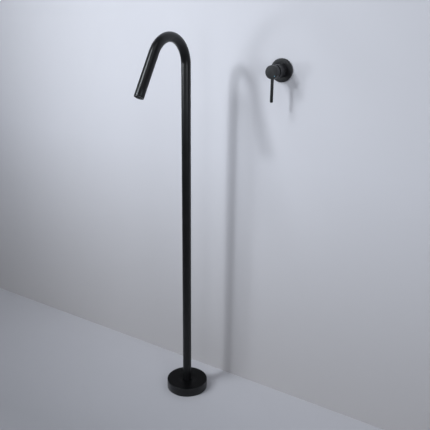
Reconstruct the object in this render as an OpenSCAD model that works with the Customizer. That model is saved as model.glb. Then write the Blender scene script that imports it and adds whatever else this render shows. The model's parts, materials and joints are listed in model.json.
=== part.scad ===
// Floor-standing basin mixer: a gooseneck spout on a round floor base and a
// single-lever control on the wall behind it.
// Millimetres, +Z up. The origin is the centre of the base on the finished floor,
// the spout reaches towards -Y, and the finished wall is a plane behind it at +Y.

/* [Spout] */
// Height of the top of the arch above the floor
spout_height = 1040; // [700:10:1200]
// Outer diameter of the spout's tube
tube_d = 25; // [22:0.5:30]
// Wall of the spout's tube
tube_wall = 1.5; // [1:0.1:2.5]
// Radius of the arch, on the tube's centreline
arch_r = 72; // [50:1:110]
// Angle of the slanted arm from the vertical
arm_angle = 32; // [10:1:60]
// Length of the slanted arm, from the arch to the outlet
arm_length = 115; // [60:1:200]

/* [Aerator] */
// Height of the aerator's visible ring at the outlet
outlet_ring_h = 4; // [3:0.5:8]
// Bevel on the outlet ring's lower edge
outlet_bevel = 0.6; // [0.2:0.1:1.2]
// Length of the housing's skirt inside the tube
skirt_h = 9; // [6:0.5:16]
// Wall of the housing's skirt
skirt_wall = 1.6; // [1:0.1:2.5]
// Height of the honeycomb insert
honeycomb_h = 7; // [5:0.5:10]
// Diameter of one honeycomb channel
channel_d = 1.7; // [1.2:0.1:2.4]
// Wall between two honeycomb channels
channel_wall = 0.6; // [0.5:0.1:1.5]
// Thickness of the screen above the honeycomb
screen_h = 0.8; // [0.5:0.1:1.5]
// How far the honeycomb is set back from the outlet
honeycomb_setback = 1.2; // [0.5:0.1:3]
// Thickness of the aerator's washer
washer_h = 1; // [0.6:0.1:2]

/* [Base] */
// Diameter of the base cover
cover_d = 120; // [112:1:160]
// Height of the base cover
cover_h = 26; // [26:1:40]
// Wall of the base cover
cover_wall = 2; // [1.5:0.1:3]
// Bevel on the cover's upper edge
cover_bevel = 1; // [0.4:0.1:2]
// Depth of the cover's neck round the tube
cover_neck_h = 6; // [5:0.5:8]
// Wall of the cover's neck
cover_neck_wall = 4.3; // [3.5:0.1:6]
// Diameter of the floor flange
flange_d = 100; // [96:1:106]
// Thickness of the floor flange
flange_h = 8; // [6:0.5:10]
// Wall of the flange's collar
collar_wall = 8.5; // [7:0.5:10]
// Diameter of the circle of floor screws
floor_pcd = 76; // [72:1:80]
// Number of floor screws
floor_screw_count = 4; // [3:1:6]
// Outer diameter of a floor screw's thread
floor_screw_d = 6; // [5:0.5:8]
// Diameter of its plain shank above the floor
floor_shank_d = 5.2; // [4:0.1:5.5]
// Length of a floor screw below its head
floor_screw_l = 60; // [40:5:90]
// Width across the flats of a floor screw's head
floor_head_af = 10; // [9:0.5:11]
// Height of a floor screw's head
floor_head_h = 4; // [3:0.5:5]
// Thickness of a floor washer
floor_washer_h = 1.2; // [0.8:0.1:1.6]
// Diameter of a floor washer
floor_washer_d = 13; // [12.5:0.5:16]
// Diameter of a clamp screw
clamp_screw_d = 5; // [4:0.5:6]
// Number of clamp screws
clamp_screw_count = 3; // [2:1:4]

/* [Supply connections] */
// Outer diameter of the connecting threads, G 1/2
supply_d = 20.955; // [15:0.005:22]
// Length of the thread below the floor
inlet_thread_l = 16; // [10:1:30]
// Thickness of the inlet connector's shoulder
shoulder_h = 4; // [3:0.5:5]
// Diameter of the inlet connector's shoulder
shoulder_d = 32; // [30:1:36]
// Length of the connector's spigot inside the tube
spigot_l = 26; // [18:1:40]
// Bore of the inlet connector
inlet_bore_d = 13; // [8:0.5:14]
// Thickness of the connector's seals
connector_seal_d = 1.5; // [1.2:0.1:2]

/* [Control on the wall] */
// Distance of the finished wall behind the riser's axis
wall_y = 130; // [80:5:400]
// Distance of the control beside the riser's axis
control_x = 207; // [80:1:600]
// Height of the control above the floor
control_z = 943; // [700:1:1300]
// Diameter of the wall rosette
rosette_d = 60; // [52:1:80]
// Thickness of the wall rosette
rosette_h = 5.2; // [4.6:0.1:8]
// Bevel on the rosette's front edge
rosette_bevel = 0.6; // [0.2:0.1:1]
// Thickness of the foam seal behind the rosette
foam_h = 2; // [1:0.1:2.4]
// Diameter of the trim sleeve
sleeve_d = 34; // [34:0.5:40]
// Wall of the trim sleeve
sleeve_wall = 1.5; // [1:0.1:2]
// Distance of the sleeve's front from the wall
sleeve_out = 39.5; // [37:0.5:60]
// Bevel on the front edges of the sleeve and the hub
trim_bevel = 0.6; // [0.2:0.1:1]
// Diameter of the opening in the sleeve's front
sleeve_mouth_d = 22; // [20:0.5:24]

/* [Lever] */
// Diameter of the lever's hub
hub_d = 34; // [32:0.5:40]
// Distance from the sleeve's front to the hub's face
hub_reach = 19.5; // [18:0.5:26]
// Gap between the sleeve and the hub, at the top
gap_top = 7.5; // [6.5:0.1:8]
// Gap between the sleeve and the hub, at the bottom
gap_bottom = 1.3; // [1.3:0.1:3]
// Diameter of the pin handle
pin_d = 8; // [6:0.5:9]
// Distance from the hub's axis to the tip of the pin handle
pin_reach = 75.5; // [50:0.5:110]
// Distance from the hub's face back to the handle's axis
pin_inset = 7; // [6:0.1:8]
// Depth that the pin handle sinks into the hub
pin_socket = 3; // [2:0.5:4]
// Diameter of the thread that holds the pin handle
pin_thread_d = 6; // [4:0.5:6]
// Length of the hub's grub screw
hub_grub_l = 5; // [4:0.5:5]
// Diameter of the indicator dot
dot_d = 2.6; // [1.5:0.1:4]
// Distance of the indicator dot from the hub's axis
dot_r = 12.9; // [9:0.1:13]
// Direction of the indicator dot, anticlockwise from the right
dot_angle = -45; // [-60:5:240]
// Side of the square stem
stem_w = 7; // [6:0.1:7.2]
// How far the lever lifts
lift_max = 22; // [10:1:22]

/* [Cartridge] */
// Outer diameter of the cartridge
cartridge_d = 25; // [24:0.5:25]
// Length of the cartridge from its seat to its rim
cartridge_l = 25; // [25:0.5:30]
// Wall of the cartridge housing
housing_wall = 1.5; // [1.2:0.1:1.8]
// Thickness of the housing's rim
rim_h = 1.8; // [1.4:0.1:2]
// Diameter of the rotor's neck
neck_d = 16; // [15:0.5:17]
// Distance from the sleeve's front back to the cartridge's rim
cartridge_setback = 10.5; // [10:0.5:12]
// Distance from the rim out to the stem's pivot
pivot_above_rim = 1; // [0.6:0.1:1.4]
// Distance from the pivot back to the stem's ball
ball_drop = 9; // [8.4:0.1:9.2]
// Diameter of the stem's ball end
ball_d = 5; // [4.4:0.1:5]
// Diameter of the stem's arm between the pivot and the ball
arm_d = 3.2; // [2.4:0.1:3.2]
// Diameter of the pivot pin
pivot_d = 3; // [2:0.1:3.4]
// Thickness of a ceramic disc
disc_h = 3; // [2.4:0.1:3]
// Diameter of the fixed ceramic disc
fixed_disc_d = 21.6; // [20:0.1:21.8]
// Diameter of the moving ceramic disc
moving_disc_d = 17.6; // [17:0.1:17.8]
// Width of the disc carrier across its flats
carrier_w = 13.2; // [12:0.1:13.2]
// Height of the cartridge's base
base_h = 4; // [3.6:0.1:4.4]
// Diameter of a water port
port_d = 4; // [3:0.1:4]
// Distance of the ports from the cartridge's axis
port_r = 4.6; // [4.4:0.1:4.6]

/* [Valve body] */
// Diameter of the valve body in the wall
barrel_d = 44; // [40:1:60]
// Distance of the barrel's front behind the finished wall
barrel_setback = 3; // [1:1:20]
// Wall of the valve body's neck round the cartridge
body_neck_wall = 2.6; // [2.5:0.1:2.7]
// Depth of the two inlets behind the finished wall
inlet_depth = 20; // [18:1:40]
// Depth of the outlet behind the inlets
outlet_step = 12; // [10:1:30]
// Diameter of the bosses under the connecting threads
boss_d = 28; // [24:1:32]
// Distance of a boss's end from the control's axis
boss_reach = 27; // [26:1:50]
// Length of each connecting thread on the valve body
body_thread_l = 14; // [10:1:30]
// Diameter of the water channels in the valve body
channel_bore_d = 7; // [5:0.5:8]
// Height of the ring nut that holds the cartridge
nut_h = 4.5; // [3.5:0.1:5]
// Width of the mounting plate
plate_w = 72; // [70:1:100]
// Height of the mounting plate
plate_l = 60; // [58:1:90]
// Thickness of the mounting plate
plate_h = 2.5; // [2:0.5:4]
// Distance between the wall screws, sideways
wall_screws_x = 56; // [54:1:58]
// Distance between the wall screws, upwards
wall_screws_z = 44; // [42:1:46]
// Outer diameter of a wall screw's thread
wall_screw_d = 5; // [4:0.5:6]
// Diameter of its plain shank in front of the thread
wall_shank_d = 4.3; // [3.5:0.1:4.5]
// Length of a wall screw below its head
wall_screw_l = 45; // [30:5:70]
// Diameter of a wall screw's head
wall_head_d = 9.5; // [8.5:0.5:11]
// Height of a wall screw's head
wall_head_h = 3.2; // [2:0.1:4]
// Diameter of the screws that join plate and body
plate_screw_d = 5; // [4:0.5:6]
// Distance between the screws that join plate and body
plate_screws_x = 24; // [20:1:28]
// Length of the screws that join plate and body
plate_screw_l = 10; // [8:0.5:12]

/* [Clearances] */
// Radial clearance of a sliding or turning fit
running_fit = 0.08; // [0.05:0.01:0.1]
// Radial clearance of a part that slips over or into another
slip_fit = 0.1; // [0.05:0.01:0.2]
// Gap between moving parts that only pass each other
moving_gap = 0.3; // [0.2:0.05:0.5]
// Radial clearance of a screw in its hole
screw_clearance = 0.4; // [0.2:0.05:0.8]
// Thickness of the small O-rings
seal_d = 1.4; // [1.2:0.1:1.6]

/* [Hidden] */
$fn = 96;

// Cutting tools run past the faces that they cut by this much
over = 1;

// Spout: radii, and heights above the floor
tube_r = tube_d / 2;
tube_bore_r = tube_r - tube_wall;
rise = spout_height - arch_r - tube_r;
tube_foot = shoulder_h;
// The arm starts this far inside the arch and inside both faces of its wall, so that they join
arm_step = 0.1;

// Aerator: distances from the outlet, back into the arm
skirt_r = tube_bore_r - slip_fit;
honeycomb_r = skirt_r - skirt_wall;
channel_pitch = channel_d + channel_wall;
channel_rings = floor((honeycomb_r - channel_d / 2 - channel_wall) / channel_pitch);
washer_wall = 0.9;
skirt_top = outlet_ring_h + skirt_h;

// Base: radii, and heights above the floor
cover_r = cover_d / 2;
cover_neck_foot = cover_h - cover_neck_h;
cover_bore_r = tube_r + slip_fit;
cover_groove_r = tube_r + seal_d;
cover_groove_z = cover_h - cover_neck_h / 2;
collar_r = tube_r + collar_wall;
collar_top = cover_neck_foot - slip_fit * 5;
clamp_z = (flange_h + collar_top) / 2;
clamp_screw_l = collar_wall - 0.5;
spigot_r = tube_bore_r - slip_fit;
spigot_top = shoulder_h + spigot_l;
spigot_groove_r = tube_bore_r - connector_seal_d;
connector_seal_z = [for (i = [1, 2]) shoulder_h + i * spigot_l / 3];

// Control: distances from the finished wall into the room, less than 0 in the wall
sleeve_r = sleeve_d / 2;
sleeve_bore_r = sleeve_r - sleeve_wall;
body_neck_r = cartridge_d / 2 + slip_fit + body_neck_wall;
sleeve_seal_d = sleeve_bore_r - body_neck_r + seal_d * 0.7;
rosette_bore_r = sleeve_r + slip_fit;
rosette_groove_r = sleeve_r + seal_d;
rosette_groove_z = (foam_h + rosette_h) / 2;
foam_margin = 2.5;
cartridge_top = sleeve_out - cartridge_setback;
seat = cartridge_top - cartridge_l;
pivot_out = cartridge_top + pivot_above_rim;
ball_out = pivot_out - ball_drop;
sleeve_seal_z = [rosette_h + 6, cartridge_top - 4];

// Cartridge, from the seat outwards
base_flange_h = 1.4;
base_top = seat + base_h;
fixed_disc_top = base_top + disc_h;
moving_disc_top = fixed_disc_top + disc_h;
housing_foot = seat + base_flange_h;
housing_bore_r = cartridge_d / 2 - housing_wall;
rim_foot = cartridge_top - rim_h;
rotor_flange_h = 3.2;
rotor_flange_foot = rim_foot - slip_fit * 2 - rotor_flange_h;
rotor_r = housing_bore_r - running_fit;
rotor_neck_r = neck_d / 2;
rotor_top = pivot_out + 5;
pivot_l = 2 * rotor_neck_r - 1.2;
tab_w = 10;
tab_foot = moving_disc_top + moving_gap;
slot_w = stem_w + 2 * moving_gap;
slot_l = 13;
disc_travel = ball_drop * lift_max * PI / 180;
disc_rest = disc_travel / 2;
carrier_r = moving_disc_d / 2;
carrier_lip = 1.5;
carrier_top = ball_out + carrier_lip;
carrier_slot_w = ball_d + 0.4;
carrier_slot_foot = ball_out - ball_d / 2 - moving_gap;
seal_h = 1;
seal_w = 1;
seal_pocket_r = port_d / 2 + seal_w;
port_angles = [90, 210, 330];
key_pin_d = 3;
key_pin_l = 2;
key_pin_at = [8.5, 5];
mixing_pocket_h = 1.6;
disc_rim = 1.6;

// Lever: the hub's back slants from one gap to the other
hub_r = hub_d / 2;
hub_face = sleeve_out + hub_reach;
pin_out = hub_face - pin_inset;
hub_back_top = sleeve_out + gap_top;
hub_back_bottom = sleeve_out + gap_bottom;
hub_slant = atan((gap_top - gap_bottom) / hub_d);
stem_end = pin_out + pin_thread_d / 2 + 1.2;
socket_clearance = 0.05;
pin_shoulder = hub_r - pin_socket;
pin_thread_l = 4.5;
dot_h = 0.8;
hex_key = 3;
hex_depth = 1.6;
screw_point_d = 1;

// Valve body, behind the finished wall
inlet_out = -inlet_depth;
outlet_out = inlet_out - outlet_step;
boss_r = boss_d / 2;
barrel_back = outlet_out - boss_r - 2;
barrel_front = -barrel_setback;
nut_r = cartridge_d / 2 + 1;
nut_bore_r = rotor_neck_r + 1;
body_mouth = cartridge_top + nut_h;
plate_back = barrel_back - plate_h;
plate_corner_r = 6;
plate_head_h = 2;
spanner_slot_w = 3;
spanner_slot_h = 1.5;

// Shapes that repeat

module ring(outer_r, inner_r, h) {
    difference() {
        cylinder(r = outer_r, h = h);
        translate([0, 0, -over]) cylinder(r = inner_r, h = h + 2 * over);
    }
}

module oring(inner_r, section_d) {
    rotate_extrude() translate([inner_r + section_d / 2, 0]) circle(d = section_d, $fn = 32);
}

module bevelled_disc(r, h, bevel) {
    rotate_extrude() polygon([[0, 0], [r, 0], [r, h - bevel], [r - bevel, h], [0, h]]);
}

module hexagon_head(across_flats, h) {
    cylinder(d = across_flats / cos(30), h = h, $fn = 6);
}

module on_circle(count, r, start = 0) {
    for (i = [0 : count - 1]) rotate(start + 360 * i / count) translate([r, 0, 0]) children();
}

module at_corners(width, height) {
    for (x = [-width / 2, width / 2], y = [-height / 2, height / 2]) translate([x, y, 0]) children();
}

module at_ports() {
    for (a = port_angles) rotate(a) translate([port_r, 0, 0]) children();
}

module round_cornered_plate(w, l, h, r) {
    translate([-w / 2, r - l / 2, 0]) cube([w, l - 2 * r, h]);
    translate([r - w / 2, -l / 2, 0]) cube([w - 2 * r, l, h]);
    at_corners(w - 2 * r, l - 2 * r) cylinder(r = r, h = h);
}

// A grub screw whose point is at the origin and whose hexagon socket faces +Z
module grub_screw(d, l) {
    difference() {
        cylinder(d = d, h = l);
        translate([0, 0, l / 2]) hexagon_head(d / 2, l);
    }
}

// Places

// The outlet, with +Z pointing out of it along the arm
module at_outlet() {
    translate([0, -arch_r, rise]) rotate([180 - arm_angle, 0, 0])
        translate([0, arch_r, arm_length]) children();
}

// The control's axis, with +Z pointing out of the wall, +Y up and the finished wall at 0
module on_wall() {
    translate([control_x, wall_y, control_z]) rotate([90, 0, 0]) children();
}

// Radial places in the control, with +Z pointing away from its axis
module pointing_down() { rotate([90, 0, 0]) children(); }
module pointing_right() { rotate([0, 90, 0]) children(); }
module pointing_left() { rotate([0, -90, 0]) children(); }

// Spout

module spout_tube() {
    color("#26272a") {
        translate([0, 0, tube_foot]) ring(tube_r, tube_bore_r, rise - tube_foot);
        translate([0, -arch_r, rise]) rotate([90, 0, 90])
            rotate_extrude(angle = 180 - arm_angle) translate([arch_r, 0]) difference() {
                circle(tube_r);
                circle(tube_bore_r);
            }
        at_outlet() translate([0, 0, -arm_length - arm_step])
            ring(tube_r - arm_step, tube_bore_r + arm_step, arm_length + arm_step - outlet_ring_h);
    }
}

module aerator_housing() {
    color("#2b2c30") at_outlet() difference() {
        union() {
            translate([0, 0, -skirt_top]) cylinder(r = skirt_r, h = skirt_top);
            translate([0, 0, -outlet_ring_h]) bevelled_disc(tube_r, outlet_ring_h, outlet_bevel);
        }
        translate([0, 0, -skirt_top - over]) cylinder(r = honeycomb_r, h = skirt_top + 2 * over);
        translate([0, 0, -outlet_ring_h - over]) ring(skirt_r + washer_wall, skirt_r, washer_h + over);
    }
}

module aerator_washer() {
    color("#3a3a3c") at_outlet() translate([0, 0, -outlet_ring_h])
        ring(skirt_r + washer_wall, skirt_r, washer_h);
}

module honeycomb_channels(h) {
    for (row = [-channel_rings : channel_rings])
        for (i = [0 : 2 * channel_rings - abs(row)])
            translate([
                (i - channel_rings + abs(row) / 2) * channel_pitch,
                row * channel_pitch * sin(60),
                -over
            ]) cylinder(d = channel_d, h = h + 2 * over, $fn = 24);
}

module aerator_insert() {
    color("#2a2a2c") at_outlet() translate([0, 0, -honeycomb_setback - honeycomb_h])
        difference() {
            cylinder(r = honeycomb_r, h = honeycomb_h);
            honeycomb_channels(honeycomb_h);
        }
}

module aerator_screen() {
    color("silver") at_outlet() translate([0, 0, -honeycomb_setback - honeycomb_h - screen_h])
        difference() {
            cylinder(r = honeycomb_r, h = screen_h);
            rotate(30) honeycomb_channels(screen_h);
        }
}

module base_cover() {
    color("#1b1c1e") difference() {
        bevelled_disc(cover_r, cover_h, cover_bevel);
        translate([0, 0, -over]) difference() {
            cylinder(r = cover_r - cover_wall, h = cover_h - cover_wall + over);
            translate([0, 0, cover_neck_foot + over])
                cylinder(r = cover_bore_r + cover_neck_wall, h = cover_neck_h);
        }
        cylinder(r = cover_bore_r, h = cover_h + over);
        translate([0, 0, cover_groove_z - seal_d / 2]) cylinder(r = cover_groove_r, h = seal_d);
    }
}

module cover_oring() {
    color("#303030") translate([0, 0, cover_groove_z]) oring(tube_r, seal_d);
}

module floor_flange() {
    color("#8d9094") difference() {
        union() {
            cylinder(d = flange_d, h = flange_h);
            cylinder(r = collar_r, h = collar_top);
        }
        translate([0, 0, -over]) cylinder(r = tube_r + slip_fit / 2, h = collar_top + 2 * over);
        translate([0, 0, -over]) cylinder(d = shoulder_d + 2 * slip_fit, h = shoulder_h + over);
        on_circle(floor_screw_count, floor_pcd / 2, 45) translate([0, 0, -over])
            cylinder(d = floor_screw_d + 2 * screw_clearance, h = flange_h + 2 * over);
        on_circle(clamp_screw_count, 0, 90) translate([0, 0, clamp_z]) pointing_right()
            cylinder(d = clamp_screw_d, h = collar_r + over);
    }
}

module clamp_screws() {
    color("#55585c") on_circle(clamp_screw_count, tube_r, 90) translate([0, 0, clamp_z])
        pointing_right() grub_screw(clamp_screw_d, clamp_screw_l);
}

module inlet_connector() {
    color("#b08d4c") difference() {
        union() {
            translate([0, 0, -inlet_thread_l]) cylinder(d = supply_d, h = inlet_thread_l);
            cylinder(d = shoulder_d, h = shoulder_h);
            cylinder(r = spigot_r, h = spigot_top);
        }
        translate([0, 0, -inlet_thread_l - over])
            cylinder(d = inlet_bore_d, h = inlet_thread_l + spigot_top + 2 * over);
        for (z = connector_seal_z) translate([0, 0, z - connector_seal_d / 2])
            ring(tube_r, spigot_groove_r, connector_seal_d);
    }
}

module connector_orings() {
    color("#303030") for (z = connector_seal_z) translate([0, 0, z])
        oring(spigot_groove_r, connector_seal_d);
}

// A wood screw below its head: a plain shank, and then a thread with a point
module wood_screw(thread_d, shank_d, shank_l, l) {
    translate([0, 0, -shank_l]) cylinder(d = shank_d, h = shank_l + over);
    translate([0, 0, thread_d - l]) cylinder(d = thread_d, h = l - thread_d - shank_l);
    translate([0, 0, -l]) cylinder(d1 = screw_point_d, d2 = thread_d, h = thread_d);
}

module floor_screws() {
    head_foot = flange_h + floor_washer_h;
    color("#a9adb2") on_circle(floor_screw_count, floor_pcd / 2, 45) translate([0, 0, head_foot]) {
        hexagon_head(floor_head_af, floor_head_h);
        wood_screw(floor_screw_d, floor_shank_d, head_foot, floor_screw_l);
    }
}

module floor_washers() {
    color("#c0c4c8") on_circle(floor_screw_count, floor_pcd / 2, 45) translate([0, 0, flange_h])
        ring(floor_washer_d / 2, floor_screw_d / 2, floor_washer_h);
}

// Trim on the wall

module wall_rosette() {
    color("#2f3033") on_wall() difference() {
        bevelled_disc(rosette_d / 2, rosette_h, rosette_bevel);
        translate([0, 0, -over]) cylinder(r = rosette_bore_r, h = rosette_h + 2 * over);
        translate([0, 0, -over]) cylinder(r = rosette_d / 2 - foam_margin, h = foam_h + over);
        translate([0, 0, rosette_groove_z - seal_d / 2]) cylinder(r = rosette_groove_r, h = seal_d);
    }
}

module rosette_seal() {
    color("#4a4b4d") on_wall()
        ring(rosette_d / 2 - foam_margin, rosette_bore_r + foam_margin, foam_h);
}

module rosette_oring() {
    color("#303030") on_wall() translate([0, 0, rosette_groove_z]) oring(sleeve_r, seal_d);
}

module trim_sleeve() {
    color("#232427") on_wall() difference() {
        bevelled_disc(sleeve_r, sleeve_out, trim_bevel);
        translate([0, 0, -over]) cylinder(r = sleeve_bore_r, h = sleeve_out - sleeve_wall + over);
        cylinder(d = sleeve_mouth_d, h = sleeve_out + over);
    }
}

module sleeve_orings() {
    color("#303030") on_wall() for (z = sleeve_seal_z) translate([0, 0, z])
        oring(sleeve_bore_r - sleeve_seal_d, sleeve_seal_d);
}

// Lever

module lever_hub() {
    color("#303136") on_wall() difference() {
        translate([0, 0, sleeve_out]) bevelled_disc(hub_r, hub_reach, trim_bevel);
        translate([0, -hub_r, hub_back_bottom]) rotate([hub_slant, 0, 0])
            translate([-hub_d, -hub_d, -hub_d]) cube([2 * hub_d, 4 * hub_d, hub_d]);
        translate([0, 0, sleeve_out]) stem_square(stem_end - sleeve_out + slip_fit, socket_clearance);
        translate([0, 0, pin_out]) pointing_down() {
            cylinder(d = pin_thread_d, h = hub_d);
            translate([0, 0, pin_shoulder]) cylinder(r = pin_d / 2 + socket_clearance, h = hub_r);
        }
        rotate(dot_angle) translate([dot_r, 0, hub_face - dot_h]) cylinder(d = dot_d, h = over + dot_h);
    }
}

module stem_square(h, clearance = 0) {
    side = stem_w + 2 * clearance;
    translate([-side / 2, -side / 2, 0]) cube([side, side, h]);
}

module lever_pin() {
    color("#1d1e22") on_wall() translate([0, 0, pin_out]) pointing_down() {
        translate([0, 0, pin_shoulder - pin_thread_l])
            cylinder(d = pin_thread_d, h = pin_thread_l + over);
        rotate_extrude() pin_outline();
    }
}

// Half of the pin handle's outline, with a rounded tip
module pin_outline() {
    r = pin_d / 2;
    tip_r = r * 0.6;
    translate([0, pin_shoulder]) square([r, pin_reach - tip_r - pin_shoulder]);
    translate([0, pin_shoulder]) square([r - tip_r, pin_reach - pin_shoulder]);
    intersection() {
        translate([r - tip_r, pin_reach - tip_r]) circle(tip_r);
        translate([0, pin_shoulder]) square([r, pin_reach - pin_shoulder]);
    }
}

module hub_grub_screw() {
    color("#55585c") on_wall() translate([0, 0, pin_out]) pointing_down()
        translate([0, 0, stem_w / 2]) grub_screw(pin_thread_d, hub_grub_l);
}

module indicator_dot() {
    color("#5f93b4") on_wall() rotate(dot_angle) translate([dot_r, 0, hub_face - dot_h])
        cylinder(d = dot_d, h = dot_h);
}

// Cartridge

module lever_stem() {
    color("#b9a06a") on_wall() difference() {
        union() {
            translate([0, 0, ball_out]) sphere(d = ball_d);
            translate([0, 0, ball_out]) cylinder(d = arm_d, h = ball_drop);
            translate([0, 0, pivot_out]) stem_square(stem_end - pivot_out);
            translate([-stem_w / 2, 0, pivot_out]) pointing_right() cylinder(d = stem_w, h = stem_w);
        }
        translate([-stem_w, 0, pivot_out]) pointing_right()
            cylinder(r = pivot_d / 2 + running_fit, h = 2 * stem_w);
    }
}

module pivot_pin() {
    color("#c9ccd1") on_wall() translate([-pivot_l / 2, 0, pivot_out]) pointing_right()
        cylinder(d = pivot_d, h = pivot_l);
}

module cartridge_rotor() {
    color("#d8d8d2") on_wall() difference() {
        union() {
            translate([0, 0, rotor_flange_foot]) cylinder(r = rotor_r, h = rotor_flange_h);
            translate([0, 0, rotor_flange_foot])
                cylinder(r = rotor_neck_r - running_fit, h = rotor_top - rotor_flange_foot);
            intersection() {
                translate([0, 0, tab_foot]) cylinder(r = rotor_r, h = rotor_flange_foot - tab_foot + over);
                for (side = [-1, 1])
                    translate([side * (carrier_w / 2 + moving_gap + tab_w / 2), 0, tab_foot + tab_w])
                        cube([tab_w, tab_w, 2 * tab_w], center = true);
            }
        }
        translate([-slot_w / 2, -slot_l / 2, tab_foot])
            cube([slot_w, slot_l, cartridge_top - tab_foot + over]);
        translate([-slot_w / 2, -neck_d, cartridge_top]) cube([slot_w, 2 * neck_d, rotor_top]);
        translate([-pivot_l / 2, 0, pivot_out]) pointing_right() cylinder(d = pivot_d, h = pivot_l);
    }
}

module disc_carrier() {
    color("#e6e3d8") on_wall() difference() {
        translate([0, disc_rest, moving_disc_top]) intersection() {
            cylinder(r = carrier_r, h = carrier_top - moving_disc_top);
            translate([-carrier_w / 2, -carrier_r, 0]) cube([carrier_w, 2 * carrier_r, carrier_top]);
        }
        translate([-carrier_slot_w / 2, -carrier_slot_w / 2, carrier_slot_foot])
            cube([carrier_slot_w, carrier_slot_w, carrier_top]);
    }
}

module moving_disc() {
    color("#efeeea") on_wall() difference() {
        translate([0, disc_rest, fixed_disc_top]) cylinder(d = moving_disc_d, h = disc_h);
        translate([0, 0, fixed_disc_top - over]) mixing_pocket();
    }
}

// The pocket under the moving disc: closed at rest, and over the inlets when the disc moves
module mixing_pocket() {
    pocket_foot = (port_d - port_r) / 2 + moving_gap;
    intersection() {
        translate([0, disc_rest, 0])
            cylinder(r = moving_disc_d / 2 - disc_rim, h = mixing_pocket_h + over);
        translate([-moving_disc_d / 2, pocket_foot, 0])
            cube([moving_disc_d, moving_disc_d, mixing_pocket_h + over]);
    }
}

module fixed_disc() {
    color("#f2f1ed") on_wall() translate([0, 0, base_top]) difference() {
        cylinder(d = fixed_disc_d, h = disc_h);
        translate([0, 0, -over]) at_ports() cylinder(d = port_d, h = disc_h + 2 * over);
    }
}

module cartridge_base() {
    color("#c8c9c4") on_wall() difference() {
        union() {
            translate([0, 0, seat]) cylinder(d = cartridge_d, h = base_flange_h);
            translate([0, 0, seat]) cylinder(r = housing_bore_r, h = base_h);
            translate([0, 0, seat - key_pin_l]) key_pins(key_pin_d / 2);
        }
        translate([0, 0, seat - over]) at_ports() cylinder(d = port_d, h = base_h + 2 * over);
        translate([0, 0, seat - over]) at_ports() cylinder(r = seal_pocket_r, h = seal_h + over);
        translate([0, 0, base_top - seal_h]) at_ports() cylinder(r = seal_pocket_r, h = seal_h + over);
    }
}

module key_pins(r) {
    for (side = [-1, 1]) translate([side * key_pin_at[0], key_pin_at[1], 0])
        cylinder(r = r, h = key_pin_l + base_flange_h / 2);
}

module disc_seals() {
    color("#3a3a3c") on_wall() translate([0, 0, base_top - seal_h]) at_ports()
        ring(seal_pocket_r, port_d / 2, seal_h);
}

module base_seals() {
    color("#3a3a3c") on_wall() translate([0, 0, seat]) at_ports()
        ring(seal_pocket_r, port_d / 2, seal_h);
}

module cartridge_housing() {
    color("#dcdcd6") on_wall() difference() {
        translate([0, 0, housing_foot]) cylinder(d = cartridge_d, h = cartridge_top - housing_foot);
        translate([0, 0, housing_foot - over])
            cylinder(r = housing_bore_r, h = rim_foot - housing_foot + over);
        translate([0, 0, rim_foot - over]) cylinder(r = rotor_neck_r, h = rim_h + 2 * over);
    }
}

module cartridge_nut() {
    color("#b3924f") on_wall() translate([0, 0, cartridge_top]) difference() {
        ring(nut_r, nut_bore_r, nut_h);
        for (a = [0, 90]) rotate(a) translate([-nut_r - over, -spanner_slot_w / 2, nut_h - spanner_slot_h])
            cube([2 * (nut_r + over), spanner_slot_w, spanner_slot_h + over]);
    }
}

// Valve body and its fixing in the wall

module valve_body() {
    color("#b08d4c") on_wall() difference() {
        union() {
            translate([0, 0, barrel_back]) cylinder(d = barrel_d, h = barrel_front - barrel_back);
            translate([0, 0, barrel_back]) cylinder(r = body_neck_r, h = body_mouth - barrel_back);
            translate([0, 0, inlet_out]) pointing_left() supply_stub();
            translate([0, 0, inlet_out]) pointing_right() supply_stub();
            translate([0, 0, outlet_out]) pointing_down() supply_stub();
        }
        translate([0, 0, seat]) cylinder(r = cartridge_d / 2 + slip_fit / 2, h = body_mouth);
        translate([0, 0, cartridge_top]) cylinder(r = nut_r, h = body_mouth);
        translate([0, 0, seat - key_pin_l - slip_fit]) key_pins(key_pin_d / 2 + slip_fit);
        for (z = sleeve_seal_z) translate([0, 0, z - sleeve_seal_d / 2])
            ring(sleeve_r, sleeve_bore_r - sleeve_seal_d, sleeve_seal_d);
        water_channels();
        at_plate_screws() cylinder(d = plate_screw_d, h = plate_screw_l);
    }
}

module supply_stub() {
    cylinder(r = boss_r, h = boss_reach);
    cylinder(d = supply_d, h = boss_reach + body_thread_l);
}

module supply_mouth() {
    translate([0, 0, barrel_d / 2]) cylinder(d = inlet_bore_d, h = boss_reach + body_thread_l);
}

module water_channels() {
    channel_l = boss_reach + body_thread_l;
    inlet_start = port_r * cos(30) - port_d / 4;
    for (side = [-1, 1]) {
        translate([0, -port_r / 2, inlet_out]) rotate([0, side * 90, 0])
            translate([0, 0, inlet_start]) cylinder(d = channel_bore_d, h = channel_l);
        translate([side * port_r * cos(30), -port_r / 2, inlet_out])
            cylinder(d = port_d, h = seat - inlet_out + over);
    }
    for (side = [-1, 1]) translate([0, 0, inlet_out]) rotate([0, side * 90, 0]) supply_mouth();
    translate([0, 0, outlet_out]) pointing_down() supply_mouth();
    translate([0, port_r, outlet_out]) cylinder(d = port_d, h = seat - outlet_out + over);
    translate([0, port_r + port_d / 4, outlet_out]) pointing_down()
        cylinder(d = channel_bore_d, h = channel_l + port_r + port_d);
}

module at_plate_screws() {
    for (side = [-1, 1]) translate([side * plate_screws_x / 2, 0, plate_back]) children();
}

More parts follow.
